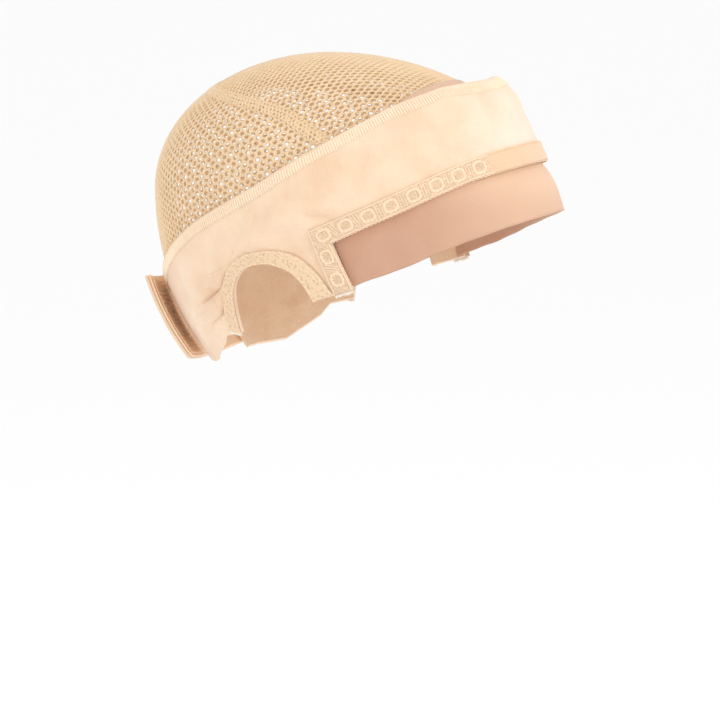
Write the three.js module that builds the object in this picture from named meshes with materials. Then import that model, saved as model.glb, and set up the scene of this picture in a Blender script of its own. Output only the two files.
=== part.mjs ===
import * as THREE from 'three';

// A wig grip headband with a net crown, as it lies on the head, in millimetres.
// The wearer faces -Y with +Z up. The origin is inside the crown, at the top of the head.
// Places on the cap are two angles: "around" is 0 at the forehead and 90 over the right ear,
// and "height" is measured from the level that leans back with the band.

// The head the cap fits, 53 cm round: quarter ellipsoids about one centre
const HEAD = { side: 75, front: 103, back: 86.2, up: 64.2, down: 108 };
const BAND_LEAN = 25;

// Cloth thicknesses, and the clearance between one layer and the next
const GAP = 0.3;
const WALL = { net: 1, seam: 1, lace: 1, velvet: 2, trim: 1, strap: 3, hook: 1.5 };

// The layers lie on each other: net, then front lace, then velvet
const LACE_SEAT = WALL.net + GAP;
const VELVET_SEAT = { front: LACE_SEAT + WALL.lace + GAP, back: WALL.net + GAP };
const SEAT_CHANGE = { from: 78, to: 90 };

// The velvet band's upper edge, forehead to nape
const BAND_TOP = [
  { around: 0, height: 4.2 },
  { around: 9, height: 4.8 },
  { around: 18, height: 7 },
  { around: 28, height: 9.6 },
  { around: 36, height: 11 },
  { around: 50, height: 10.4 },
  { around: 70, height: 8.9 },
  { around: 88, height: 6.7 },
  { around: 119, height: 4.8 },
  { around: 134, height: 2.3 },
  { around: 147, height: -0.8 },
  { around: 168, height: -6.5 },
];

// Its lower edge: forehead, tab in front of the ear, ear arch, nape
const TAB = { front: 72.5, back: 88.3, foot: -36.8, corner: -20.5, slope: 0.3 };
const FRONT_BOTTOM = [
  { around: 0, height: -16 },
  { around: 25, height: -16 },
  { around: 38, height: -17.2 },
  { around: 50, height: -18.6 },
  { around: TAB.front - TAB.slope, height: TAB.corner },
];
const EAR_ARCH = [
  { around: TAB.back, height: -36 },
  { around: 88.6, height: -30 },
  { around: 90.2, height: -25.3 },
  { around: 93, height: -22 },
  { around: 97, height: -19 },
  { around: 102, height: -17.3 },
  { around: 107, height: -17 },
  { around: 112, height: -18.8 },
  { around: 116, height: -22 },
  { around: 120, height: -27.2 },
  { around: 124.3, height: -33.4 },
];
const NAPE_BOTTOM = [
  { around: 133, height: -31 },
  { around: 138, height: -32.8 },
  { around: 153, height: -34 },
  { around: 163, height: -31.5 },
  { around: 168, height: -31 },
];
const TAB_EDGE = [1, 2, 3].map((step) => ({
  around: TAB.front - TAB.slope * (1 - step / 3),
  height: TAB.corner + ((TAB.foot - TAB.corner) * step) / 3,
}));
const BAND_BOTTOM = [...FRONT_BOTTOM, ...TAB_EDGE, ...EAR_ARCH, ...NAPE_BOTTOM];

// The line along the band that its tabs hang from
const BAND_WAIST = [
  { around: 0, height: -10.3 },
  { around: 50, height: -13.2 },
  { around: 74, height: -14.7 },
  { around: 107, height: -12 },
  { around: 134, height: -17 },
  { around: 168, height: -20 },
];
const BAND_STEP = 4.6;
const BAND_ROWS = { tab: 3, body: 4 };
const HEM_SHARE = 0.16;
const HEM_RISE = 0.5;

// Over the forehead the band's upper edge stands off the head
const FOREHEAD_LIFT = { rise: 11, spread: 27, from: -14, to: 10 };

// The band's soft folds: heading is 0 along the band and 90 up it, sizes in mm
const FOLDS = [
  { around: 82, height: -8, heading: 25, length: 26, width: 5, rise: 2.2 },
  { around: 92, height: -8, heading: 160, length: 24, width: 4.5, rise: 1.6 },
  { around: 66, height: -3, heading: 12, length: 30, width: 6, rise: 1.6 },
  { around: 131, height: -15, heading: 35, length: 22, width: 4.5, rise: 2.2 },
  { around: 137, height: -20, heading: 10, length: 22, width: 4, rise: 1.8 },
  { around: 141, height: -24, heading: 150, length: 20, width: 4, rise: 1.5 },
  { around: 20, height: 3, heading: 70, length: 16, width: 5, rise: 1.8 },
  { around: 44, height: 0, heading: 150, length: 26, width: 6, rise: 1.4 },
  { around: -6, height: 2, heading: 100, length: 18, width: 5, rise: 1.6 },
  { around: -40, height: -1, heading: 20, length: 26, width: 6, rise: 1.4 },
  { around: -70, height: -4, heading: 165, length: 28, width: 6, rise: 1.5 },
  { around: -86, height: -8, heading: 30, length: 24, width: 5, rise: 2 },
  { around: -133, height: -16, heading: 145, length: 22, width: 4.5, rise: 2 },
  { around: -140, height: -22, heading: 20, length: 20, width: 4, rise: 1.6 },
];
const FOLD_START = { from: 6, to: 10 };
const FOLD_TAPER = { from: 0.2, to: 0.6 };

// The sheer lace: its upper edge shows above the band at the forehead only
const FRONT_LACE = [
  { around: 0, lower: -27.8, upper: 15.8 },
  { around: 14, lower: -28.6, upper: 16 },
  { around: 24, lower: -30.1, upper: 15.6 },
  { around: 34, lower: -32, upper: 13.6 },
  { around: 45, lower: -34.2, upper: 6 },
  { around: 54, lower: -35.6, upper: -1 },
  { around: 63, lower: -36, upper: -8 },
  { around: 75.5, lower: -36.6, upper: -14 },
];
const LACE_COLUMNS = 36;
const LACE_ROWS = 9;
const LACE_FLARE = { rise: 10, spread: 30, from: -17, to: -30 };

// The lace trim, along the band's front edge and down both tabs
const TRIM = { width: 5, cornerWidth: 5.8, legWidth: 6.5, footRise: 0.3 };
const TRIM_STEPS = { leg: 5, front: 4.5, cornerPower: 6 };

// The lace edging of the ear arches, widest on the tab, where it meets the trim
const EAR_LACE = { tab: 12, top: 6, rear: 7, topAt: 0.45, fromTrim: 0.4, columns: 26 };

// The seam between the net panels: from the temple up and round the back of the crown
const SEAM = [
  { around: 58.4, height: 6.2 },
  { around: 61.4, height: 11.7 },
  { around: 67.2, height: 22.2 },
  { around: 71.5, height: 29.2 },
  { around: 80.2, height: 36.7 },
  { around: 97.2, height: 47.4 },
  { around: 129.5, height: 59 },
  { around: 180, height: 65 },
];
const SEAM_WIDTH = 6.5;
const SEAM_COLUMNS = 64;
const PANEL_GAP = 0.5;

// The net: wide gaps stand for the fine ones, five to one
const NET_PITCH = 17.2;
const NET_STRAND = 4;
const NET_RIM = 7.5;
const NET_TUCK = 4;
const NET_EDGE_STEP = 6;
const NET_LEAST = { corner: 0.2, area: 0.35 };
const NET_FIT = 0.01;
const TOP_SPREAD = { side: 75, along: 95 };
const BACK_CONE = { radius: 84, share: 0.38, apex: 2.4 };

// The strap's distance off the head, from its free end on the right to its sewn end
const STRAP = [
  { around: 152, seat: 9.4 },
  { around: 160, seat: 7.5 },
  { around: 167, seat: 6.4 },
  { around: 174, seat: 5.6 },
  { around: 184, seat: 4.7 },
  { around: 194, seat: 4.2 },
  { around: 212, seat: 4.2 },
];
const STRAP_MIDDLE = -16;
const STRAP_HALF_HEIGHT = 12.5;
const STRAP_COLUMNS = 24;
const STRAP_ROWS = 4;
const HOOK = { from: 152.6, to: 177, halfHeight: 11.9, columns: 14, rows: 3 };

const MM_PER_DEGREE = 1.45;
const TINY = 1e-6;
const radians = THREE.MathUtils.degToRad;
const { lerp, smoothstep } = THREE.MathUtils;

// Reads a column of a table at an angle, the same on both sides of the head
function read(table, around, column = 'height') {
  const angle = Math.abs(around);
  const next = table.findIndex((row) => row.around >= angle);
  if (next === 0) return table[0][column];
  if (next < 0) return table[table.length - 1][column];
  const [a, b] = [table[next - 1], table[next]];
  return lerp(a[column], b[column], (angle - a.around) / (b.around - a.around));
}

// The same place on the other side of the head
const mirrored = ({ around, height }) => ({ around: -around, height });

const lean = radians(BAND_LEAN);
const BAND_UP = new THREE.Vector3(0, Math.sin(lean), Math.cos(lean));
const BAND_FRONT = new THREE.Vector3(0, -Math.cos(lean), Math.sin(lean));
const BAND_RIGHT = new THREE.Vector3(-1, 0, 0);

// The direction from the head's centre to a place on the cap
function direction({ around, height }) {
  const level = Math.cos(radians(height));
  return new THREE.Vector3()
    .addScaledVector(BAND_FRONT, level * Math.cos(radians(around)))
    .addScaledVector(BAND_RIGHT, level * Math.sin(radians(around)))
    .addScaledVector(BAND_UP, Math.sin(radians(height)));
}

// The point over the head in that direction, standing off its surface
function overHead(towards, standOff) {
  const along = towards.y < 0 ? HEAD.front : HEAD.back;
  const upright = towards.z > 0 ? HEAD.up : HEAD.down;
  const axes = new THREE.Vector3(HEAD.side, along, upright);
  const point = towards.clone().divideScalar(towards.clone().divide(axes).length());
  const normal = point.clone().divide(axes).divide(axes).normalize();
  point.addScaledVector(normal, standOff);
  point.z -= HEAD.up;
  return point;
}

const place = (around, height, standOff) => overHead(direction({ around, height }), standOff);

// A closed wall over a grid: put(i, j, share) gives a point, share 0 inside and 1 outside
function wall(columns, rows, put) {
  const points = [];
  const index = [];
  const at = (i, j, skin) => (i * (rows + 1) + j) * 2 + skin;
  const quad = (a, b, c, d) => index.push(a, b, c, a, c, d);
  for (let i = 0; i <= columns; i += 1) {
    for (let j = 0; j <= rows; j += 1) {
      points.push(put(i, j, 0), put(i, j, 1));
    }
  }
  for (let i = 0; i < columns; i += 1) {
    for (let j = 0; j < rows; j += 1) {
      quad(at(i, j, 1), at(i, j + 1, 1), at(i + 1, j + 1, 1), at(i + 1, j, 1));
      quad(at(i, j, 0), at(i + 1, j, 0), at(i + 1, j + 1, 0), at(i, j + 1, 0));
    }
    quad(at(i, 0, 0), at(i, 0, 1), at(i + 1, 0, 1), at(i + 1, 0, 0));
    quad(at(i, rows, 1), at(i, rows, 0), at(i + 1, rows, 0), at(i + 1, rows, 1));
  }
  for (let j = 0; j < rows; j += 1) {
    quad(at(0, j, 1), at(0, j, 0), at(0, j + 1, 0), at(0, j + 1, 1));
    quad(at(columns, j, 0), at(columns, j, 1), at(columns, j + 1, 1), at(columns, j + 1, 0));
  }
  return closed(points, index);
}

// A closed geometry of these triangles, turned so that its faces point outwards
function closed(points, index) {
  let volume = 0;
  for (let k = 0; k < index.length; k += 3) {
    const [a, b, c] = [points[index[k]], points[index[k + 1]], points[index[k + 2]]];
    volume += a.dot(b.clone().cross(c));
  }
  const geometry = new THREE.BufferGeometry().setFromPoints(points);
  geometry.setIndex(volume < 0 ? index.reverse() : index);
  geometry.computeVertexNormals();
  return geometry;
}

const cap = new THREE.Group();

function addPiece(name, geometry, color, roughness) {
  const material = new THREE.MeshStandardMaterial({ color, roughness, metalness: 0 });
  const mesh = new THREE.Mesh(geometry, material);
  mesh.name = name;
  cap.add(mesh);
}

// How far the velvet's inner face stands off the head
function velvetSeat(around, height) {
  const side = smoothstep(Math.abs(around), SEAT_CHANGE.from, SEAT_CHANGE.to);
  const seat = lerp(VELVET_SEAT.front, VELVET_SEAT.back, side);
  const { rise, spread, from, to } = FOREHEAD_LIFT;
  const lift = rise * Math.exp(-((around / spread) ** 2)) * smoothstep(height, from, to);
  return seat + lift + foldRise(around, height);
}

// The folds' height at a place; they fade out towards the trimmed lower edge
function foldRise(around, height) {
  const { from, to } = FOLD_START;
  const free = smoothstep(height - read(BAND_BOTTOM, around), from, to);
  let rise = 0;
  for (const fold of FOLDS) {
    const level = (around - fold.around) * MM_PER_DEGREE * Math.cos(radians(height));
    const up = (height - fold.height) * MM_PER_DEGREE;
    const turn = radians(fold.heading);
    const along = level * Math.cos(turn) + up * Math.sin(turn);
    const across = up * Math.cos(turn) - level * Math.sin(turn);
    const taper = 1 - smoothstep(Math.abs(along) / fold.length, FOLD_TAPER.from, FOLD_TAPER.to);
    rise += fold.rise * taper * Math.exp(-((across / fold.width) ** 2));
  }
  return rise * free;
}

const velvetFace = (around, height) => velvetSeat(around, height) + WALL.velvet;

// Angles from nape end to nape end, at each corner of the lower edge and evenly between
function bandAngles() {
  const half = [];
  for (let k = 1; k < BAND_BOTTOM.length; k += 1) {
    const [a, b] = [BAND_BOTTOM[k - 1].around, BAND_BOTTOM[k].around];
    const steps = Math.max(1, Math.ceil((b - a) / BAND_STEP));
    for (let s = 0; s < steps; s += 1) half.push(lerp(a, b, s / steps));
  }
  half.push(BAND_BOTTOM[BAND_BOTTOM.length - 1].around);
  return [...half.slice(1).reverse().map((angle) => -angle), ...half];
}

// Velvet band: rows from the lower edge to the waist, on to the hem line, and the hem
const angles = bandAngles();
const hemRow = BAND_ROWS.tab + BAND_ROWS.body + 1;
function bandHeight(around, row) {
  const waist = read(BAND_WAIST, around);
  const top = read(BAND_TOP, around);
  if (row <= BAND_ROWS.tab) return lerp(read(BAND_BOTTOM, around), waist, row / BAND_ROWS.tab);
  if (row === hemRow) return top;
  return lerp(waist, lerp(top, waist, HEM_SHARE), (row - BAND_ROWS.tab) / BAND_ROWS.body);
}

addPiece('velvet_band', wall(angles.length - 1, hemRow, (i, j, share) => {
  const around = angles[i];
  const height = bandHeight(around, j);
  const hem = j === hemRow ? HEM_RISE : 0;
  return place(around, height, velvetSeat(around, height) + share * (WALL.velvet + hem));
}), '#f6dfc4', 0.9);

// Front lace: on the forehead under the band, flaring a little off the brow
addPiece('front_lace', wall(LACE_COLUMNS, LACE_ROWS, (i, j, share) => {
  const reach = FRONT_LACE[FRONT_LACE.length - 1].around;
  const around = lerp(-reach, reach, i / LACE_COLUMNS);
  const [lower, upper] = [read(FRONT_LACE, around, 'lower'), read(FRONT_LACE, around, 'upper')];
  const height = lerp(lower, upper, j / LACE_ROWS);
  const { rise, spread, from, to } = LACE_FLARE;
  const flare = rise * Math.exp(-((around / spread) ** 2)) * smoothstep(-height, -from, -to);
  return place(around, height, LACE_SEAT + flare + share * WALL.lace);
}), '#e8cdb6', 0.7);

// Lace trim: sections up one tab, across the forehead and down the other tab
function trimSections() {
  const half = [];
  const reach = TAB.front - TAB.slope;
  const corner = read(FRONT_BOTTOM, reach) + TRIM.cornerWidth;
  const foot = TAB.foot + TRIM.footRise;
  for (let k = 0; k < TRIM_STEPS.leg; k += 1) {
    const climb = k / TRIM_STEPS.leg;
    half.push({
      edge: { around: TAB.front, height: lerp(TAB.foot, TAB.corner, climb) },
      inner: { around: TAB.front + TRIM.legWidth, height: lerp(foot, corner, climb) },
    });
  }
  const steps = Math.ceil(reach / TRIM_STEPS.front);
  for (let k = steps; k >= 0; k -= 1) {
    const around = (reach * k) / steps;
    const turn = (k / steps) ** TRIM_STEPS.cornerPower;
    const width = lerp(TRIM.width, TRIM.cornerWidth, turn);
    half.push({
      edge: { around, height: read(FRONT_BOTTOM, around) },
      inner: { around: around + TRIM.legWidth * turn, height: read(FRONT_BOTTOM, around) + width },
    });
  }
  const other = half.slice(0, -1).reverse();
  return [...half, ...other.map(({ edge, inner }) => ({ edge: mirrored(edge), inner: mirrored(inner) }))];
}

const sections = trimSections();
addPiece('front_trim', wall(sections.length - 1, 2, (i, j, share) => {
  const { edge, inner } = sections[i];
  const around = lerp(edge.around, inner.around, j / 2);
  const height = lerp(edge.height, inner.height, j / 2);
  return place(around, height, velvetFace(around, height) + GAP + share * WALL.trim);
}), '#f0dab8', 0.8);

// Ear lace: a strip inside the arch's edge
function earLaceWidth(t) {
  const { tab, top, rear, topAt } = EAR_LACE;
  return t < topAt ? lerp(tab, top, smoothstep(t, 0, topAt)) : lerp(top, rear, (t - topAt) / (1 - topAt));
}

function earLace(side) {
  const arch = new THREE.CatmullRomCurve3(
    EAR_ARCH.map(({ around, height }) => new THREE.Vector3(around, height, 0)), false, 'centripetal',
  );
  return wall(EAR_LACE.columns, 2, (i, j, share) => {
    const t = i / EAR_LACE.columns;
    const edge = arch.getPointAt(t);
    const run = arch.getTangentAt(t);
    const inwards = new THREE.Vector3(-run.y, run.x, 0);
    const spot = edge.addScaledVector(inwards, (earLaceWidth(t) / MM_PER_DEGREE) * (j / 2));
    const around = Math.max(spot.x, TAB.front + TRIM.legWidth + EAR_LACE.fromTrim);
    const standOff = velvetFace(around, spot.y) + GAP + share * WALL.trim;
    return place(side * around, spot.y, standOff);
  });
}

addPiece('ear_lace_right', earLace(1), '#f0dab8', 0.8);
addPiece('ear_lace_left', earLace(-1), '#f0dab8', 0.8);

// Seam tape: a ribbon over the meeting edges of the net panels
const seamRight = SEAM.map(direction);
const seamLeft = SEAM.slice(0, -1).reverse().map(mirrored).map(direction);
const seamLine = new THREE.CatmullRomCurve3([...seamRight, ...seamLeft]);

// A direction beside the seam line, a distance off it towards the back
function besideSeam(t, distance) {
  const on = overHead(seamLine.getPointAt(t).normalize(), 0);
  on.z += HEAD.up;
  const run = seamLine.getTangentAt(t);
  const aside = run.clone().cross(on).normalize();
  return on.addScaledVector(aside, -distance).normalize();
}

addPiece('crown_seam', wall(SEAM_COLUMNS, 2, (i, j, share) => {
  const towards = besideSeam(i / SEAM_COLUMNS, (j / 2 - 0.5) * SEAM_WIDTH);
  return overHead(towards, LACE_SEAT + share * WALL.seam);
}), '#e3cda3', 0.85);

// The net panels are cut flat and laid over the crown: the top one spreads round the top,
// the back one rolls up as a cone
const topPanel = {
  flatten(towards) {
    const point = overHead(towards, 0);
    point.z += HEAD.up;
    const along = point.y < 0 ? HEAD.front : HEAD.back;
    const ball = point.divide(new THREE.Vector3(HEAD.side, along, HEAD.up));
    const reach = Math.acos(Math.min(1, ball.z)) / Math.max(Math.hypot(ball.x, ball.y), TINY);
    return new THREE.Vector2(ball.x * reach * TOP_SPREAD.side, ball.y * reach * TOP_SPREAD.along);
  },
  lay(flat) {
    const [x, y] = [flat.x / TOP_SPREAD.side, flat.y / TOP_SPREAD.along];
    const reach = Math.max(Math.hypot(x, y), TINY);
    const level = Math.sin(reach) / reach;
    const axes = new THREE.Vector3(HEAD.side, y < 0 ? HEAD.front : HEAD.back, HEAD.up);
    return new THREE.Vector3(x * level, y * level, Math.cos(reach)).multiply(axes).normalize();
  },
};
const backPanel = {
  flatten(towards) {
    const turn = Math.atan2(towards.x, towards.y) * BACK_CONE.share;
    const slope = (BACK_CONE.apex - Math.asin(towards.z)) * BACK_CONE.radius;
    return new THREE.Vector2(slope * Math.sin(turn), -slope * Math.cos(turn));
  },
  lay(flat) {
    const turn = Math.atan2(flat.x, -flat.y) / BACK_CONE.share;
    const height = BACK_CONE.apex - flat.length() / BACK_CONE.radius;
    const level = Math.cos(height);
    return new THREE.Vector3(level * Math.sin(turn), level * Math.cos(turn), Math.sin(height));
  },
};

// The edge of a panel: along the seam, and along under the band's upper edge
function panelEdge(panel, seamSide, bandFrom, bandTo) {
  const edge = [];
  for (let i = 0; i <= SEAM_COLUMNS; i += 1) {
    edge.push(besideSeam(i / SEAM_COLUMNS, (seamSide * PANEL_GAP) / 2));
  }
  const steps = Math.round(Math.abs(bandTo - bandFrom) / NET_EDGE_STEP);
  for (let s = 1; s < steps; s += 1) {
    const around = lerp(bandFrom, bandTo, s / steps);
    const fromFront = around > 180 ? 360 - around : around;
    edge.push(direction({ around, height: read(BAND_TOP, fromFront) - NET_TUCK }));
  }
  return edge.map(panel.flatten);
}

// True where a flat point lies inside an outline and keeps clear of it
function inside(outline, point, clearance) {
  let within = false;
  let nearest = Infinity;
  outline.forEach((a, k) => {
    const b = outline[(k + 1) % outline.length];
    const crosses = (a.y > point.y) !== (b.y > point.y);
    if (crosses && point.x < lerp(a.x, b.x, (point.y - a.y) / (b.y - a.y))) within = !within;
    const near = new THREE.Line3(new THREE.Vector3(a.x, a.y, 0), new THREE.Vector3(b.x, b.y, 0));
    const spot = new THREE.Vector3(point.x, point.y, 0);
    nearest = Math.min(nearest, near.closestPointToPoint(spot, true, new THREE.Vector3()).distanceTo(spot));
  });
  return within && nearest > clearance;
}

// One six-sided gap, its corners drawn in where they would cut the panel's rim
function netGap(outline, centre) {
  const reach = (NET_PITCH - NET_STRAND) / Math.sqrt(3);
  const corners = [];
  for (let k = 0; k < 6; k += 1) {
    const turn = radians(60 * k + 30);
    const arm = new THREE.Vector2(Math.cos(turn), Math.sin(turn)).multiplyScalar(reach);
    const clear = (share) => inside(outline, centre.clone().addScaledVector(arm, share), NET_RIM);
    let [near, far] = [NET_LEAST.corner, 1];
    if (clear(far)) near = far;
    while (far - near > NET_FIT) {
      const middle = (near + far) / 2;
      if (clear(middle)) near = middle;
      else far = middle;
    }
    corners.push(centre.clone().addScaledVector(arm, near));
  }
  const full = 1.5 * Math.sqrt(3) * reach * reach;
  const large = Math.abs(THREE.ShapeUtils.area(corners)) > full * NET_LEAST.area;
  return large ? new THREE.Path(corners) : null;
}

function netPanel(panel, outline) {
  const shape = new THREE.Shape(outline);
  const box = new THREE.Box2().setFromPoints(outline);
  const rise = NET_PITCH * Math.sqrt(0.75);
  const rows = Math.floor((box.max.y - box.min.y) / rise);
  const columns = Math.floor((box.max.x - box.min.x) / NET_PITCH / 2) + 1;
  const top = (box.max.y + box.min.y + rows * rise) / 2;
  for (let row = 0; row <= rows; row += 1) {
    for (let column = -columns; column <= columns; column += 1) {
      const centre = new THREE.Vector2((column + (row % 2) / 2) * NET_PITCH, top - row * rise);
      const gap = inside(outline, centre, NET_RIM) && netGap(outline, centre);
      if (gap) shape.holes.push(gap);
    }
  }
  const { shape: border, holes } = shape.extractPoints(1);
  const faces = evenFaces([border, ...holes].flat(), THREE.ShapeUtils.triangulateShape(border, holes));
  return sheet(faces, (corner, share) => overHead(panel.lay(corner), share * WALL.net));
}

// Turns shared edges of flat triangles until none is longer than it need be
function evenFaces(points, numbered) {
  const faces = numbered.map((face) => face.map((k) => points[k]));
  const widest = (tip, a, b) => Math.abs(a.clone().sub(tip).angleTo(b.clone().sub(tip)));
  let turned = new Set([0]);
  while (turned.size > 0) {
    const owners = new Map(points.map((point) => [point, new Map()]));
    faces.forEach((face, f) => face.forEach((a, k) => owners.get(a).set(face[(k + 1) % 3], f)));
    turned = new Set();
    faces.forEach((face, f) => {
      for (let k = 0; k < 3; k += 1) {
        const [a, b, c] = [face[k], face[(k + 1) % 3], face[(k + 2) % 3]];
        const g = owners.get(b).get(a);
        if (g === undefined || turned.has(f) || turned.has(g)) continue;
        const d = faces[g].find((corner) => corner !== a && corner !== b);
        if (widest(c, a, b) + widest(d, a, b) < Math.PI + TINY) continue;
        faces[f] = [a, d, c];
        faces[g] = [d, b, c];
        turned.add(f).add(g);
      }
    });
  }
  return faces;
}

// A closed wall from flat triangles: both skins, and a side along every free edge
function sheet(faces, put) {
  const corners = [...new Set(faces.flat())];
  const number = new Map(corners.map((corner, k) => [corner, 2 * k]));
  const runs = new Set();
  const index = [];
  for (const face of faces) {
    const [a, b, c] = face.map((corner) => number.get(corner));
    index.push(a + 1, b + 1, c + 1, c, b, a);
    for (const [from, to] of [[a, b], [b, c], [c, a]]) runs.add(`${from} ${to}`);
  }
  for (const run of runs) {
    const [from, to] = run.split(' ').map(Number);
    if (runs.has(`${to} ${from}`)) continue;
    index.push(from, to, to + 1, from, to + 1, from + 1);
  }
  return closed(corners.flatMap((corner) => [put(corner, 0), put(corner, 1)]), index);
}

const seamEnd = SEAM[0].around;
const topEdge = panelEdge(topPanel, -1, -seamEnd, seamEnd);
const backEdge = panelEdge(backPanel, 1, 360 - seamEnd, seamEnd);
addPiece('crown_net_top', netPanel(topPanel, topEdge), '#e6cfa4', 0.85);
addPiece('crown_net_back', netPanel(backPanel, backEdge), '#e6cfa4', 0.85);

// Nape strap: sewn over the left end of the band, its free end standing off the right end
const [freeEnd, sewnEnd] = [STRAP[0].around, STRAP[STRAP.length - 1].around];
addPiece('nape_strap', wall(STRAP_COLUMNS, STRAP_ROWS, (i, j, share) => {
  const around = lerp(sewnEnd, freeEnd, i / STRAP_COLUMNS);
  const height = STRAP_MIDDLE + lerp(-1, 1, j / STRAP_ROWS) * STRAP_HALF_HEIGHT;
  return place(around, height, read(STRAP, around, 'seat') + share * WALL.strap);
}), '#f3dcc0', 0.9);

// Hook tape: on the strap's inner face
addPiece('hook_tape', wall(HOOK.columns, HOOK.rows, (i, j, share) => {
  const around = lerp(HOOK.to, HOOK.from, i / HOOK.columns);
  const height = STRAP_MIDDLE + lerp(-1, 1, j / HOOK.rows) * HOOK.halfHeight;
  return place(around, height, read(STRAP, around, 'seat') - GAP - (1 - share) * WALL.hook);
}), '#e9c9ac', 0.7);

export default cap;
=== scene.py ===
import math

import bpy
import numpy as np
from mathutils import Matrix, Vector


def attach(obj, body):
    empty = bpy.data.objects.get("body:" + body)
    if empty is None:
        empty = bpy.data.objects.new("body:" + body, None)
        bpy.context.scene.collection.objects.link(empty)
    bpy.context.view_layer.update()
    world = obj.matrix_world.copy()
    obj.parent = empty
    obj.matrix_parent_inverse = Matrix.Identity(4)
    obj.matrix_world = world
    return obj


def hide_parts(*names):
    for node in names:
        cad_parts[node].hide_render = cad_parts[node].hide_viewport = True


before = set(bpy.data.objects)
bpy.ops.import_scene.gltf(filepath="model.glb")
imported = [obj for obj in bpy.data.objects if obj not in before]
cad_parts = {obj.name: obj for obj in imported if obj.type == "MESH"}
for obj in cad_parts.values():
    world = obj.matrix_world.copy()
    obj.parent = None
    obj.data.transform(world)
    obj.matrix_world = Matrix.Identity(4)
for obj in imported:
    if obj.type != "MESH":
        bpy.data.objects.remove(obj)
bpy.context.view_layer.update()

# Camera: a long lens at the cap's right front, level with the crown, placed so that the cap lands
# where it is in the photograph.
METRES_PER_PIXEL = 0.00048
CROWN_CENTRE = Vector((0, 0, -0.0642))
CROWN_PIXEL = (333, 189)
PICTURE_MIDDLE = 360
CAMERA_DISTANCE = 1.5
camera_turn, camera_tilt = math.radians(-65), math.radians(6)
back = Vector((
    math.sin(camera_turn) * math.cos(camera_tilt),
    -math.cos(camera_turn) * math.cos(camera_tilt),
    math.sin(camera_tilt),
))
right = Vector((math.cos(camera_turn), math.sin(camera_turn), 0))
up = back.cross(right)
aim = CROWN_CENTRE + right * ((PICTURE_MIDDLE - CROWN_PIXEL[0]) * METRES_PER_PIXEL)
aim -= up * ((PICTURE_MIDDLE - CROWN_PIXEL[1]) * METRES_PER_PIXEL)
bpy.ops.object.camera_add(location=CROWN_CENTRE + back * CAMERA_DISTANCE)
camera = bpy.context.object
camera.rotation_euler = (camera.location - aim).to_track_quat("Z", "Y").to_euler()
picture_width = 2 * PICTURE_MIDDLE * METRES_PER_PIXEL
camera.data.lens = camera.data.sensor_width * CAMERA_DISTANCE / picture_width
bpy.context.scene.camera = camera

# Studio: a white room lit all round, with a large soft lamp before the cap and a weaker one at its
# right, further back, and a pale floor well under it. Lamps: place, power.
LAMPS = [((-0.3, -1.4, 0.7), 7), ((-1.3, 0.9, 0.2), 2)]
LAMP_SIZE = 0.9
FLOOR = {"size": 80, "level": -0.6, "colour": (0.97, 0.97, 0.97, 1)}
bpy.context.scene.view_settings.view_transform = "Standard"
world = bpy.data.worlds.new("studio")
bpy.context.scene.world = world
world.use_nodes = True
room = world.node_tree.nodes["Background"]
room.inputs["Color"].default_value = (1, 1, 1, 1)
room.inputs["Strength"].default_value = 1.0

for lamp_place, lamp_power in LAMPS:
    bpy.ops.object.light_add(type="AREA", location=lamp_place)
    lamp = bpy.context.object
    lamp.data.size = LAMP_SIZE
    lamp.data.energy = lamp_power
    lamp.rotation_euler = (lamp.location - CROWN_CENTRE).to_track_quat("Z", "Y").to_euler()

bpy.ops.mesh.primitive_plane_add(size=FLOOR["size"], location=(0, 0, FLOOR["level"]))
floor = bpy.context.object
floor.name = "floor"
floor_paint = bpy.data.materials.new("floor_paint")
floor_paint.use_nodes = True
floor_inputs = floor_paint.node_tree.nodes["Principled BSDF"].inputs
floor_inputs["Base Color"].default_value = FLOOR["colour"]
floor_inputs["Roughness"].default_value = 1
floor.data.materials.append(floor_paint)

# Velvet band: plush grip cloth cut in one length and worn stretched, with a tab before each ear arch.
# Its upper edge is overlocked, and stands off at the front. Sizes are in millimetres; a place is two
# angles, around from the front and height, over the egg form that the worn cap is shaped to.
FORM = {"side": 75, "front": 103, "back": 86.2, "up": 64.2, "down": 108}
BAND_LEAN = math.radians(25)
BAND_UP = np.array([0, math.sin(BAND_LEAN), math.cos(BAND_LEAN)])
BAND_FRONT = np.array([0, -math.cos(BAND_LEAN), math.sin(BAND_LEAN)])
BAND_RIGHT = np.array([-1, 0, 0])
MM_PER_DEGREE = 1.45
GAP = 0.3
BAND_TOP = [
    (0, 6.1), (9, 7), (18, 9), (28, 10.6), (36, 11.3), (50, 10.4), (70, 8.9), (88, 6.7),
    (119, 4.8), (134, 2.3), (147, -0.8), (168, -6.5),
]
BAND_WAIST = [(0, -10.3), (50, -13.2), (74, -14.7), (107, -12), (134, -17), (168, -20)]
FRONT_BOTTOM = [(0, -16), (25, -16), (38, -17.2), (50, -18.6), (72.2, -20.5)]
TAB = {"front": 72.5, "back": 88.3, "foot": -36.8, "corner": -20.5}
EAR_ARCH = [
    (88.3, -36), (88.6, -30), (90.2, -25.3), (93, -22), (97, -19), (102, -17.3), (107, -17),
    (112, -18.8), (116, -22), (120, -27.2), (124.3, -33.4),
]
NAPE_BOTTOM = [(133, -31), (138, -32.8), (153, -34), (163, -31.5), (168, -31)]
NAPE_END = 168
BAND_STEP, TAB_ROWS, BODY_ROWS, ARCH_POINTS = 0.7, 20, 34, 60
VELVET = {"wall": 2, "front_seat": 2.6, "back_seat": 1.3, "rim": 0.7}
SEAT_CHANGE = (78, 90)
FRONT_LIFT = {"rise": 10.3, "spread": 27, "low": -14, "high": 10}
EDGE_CURL = {"share": 0.25, "low": -1, "high": 6}
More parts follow.
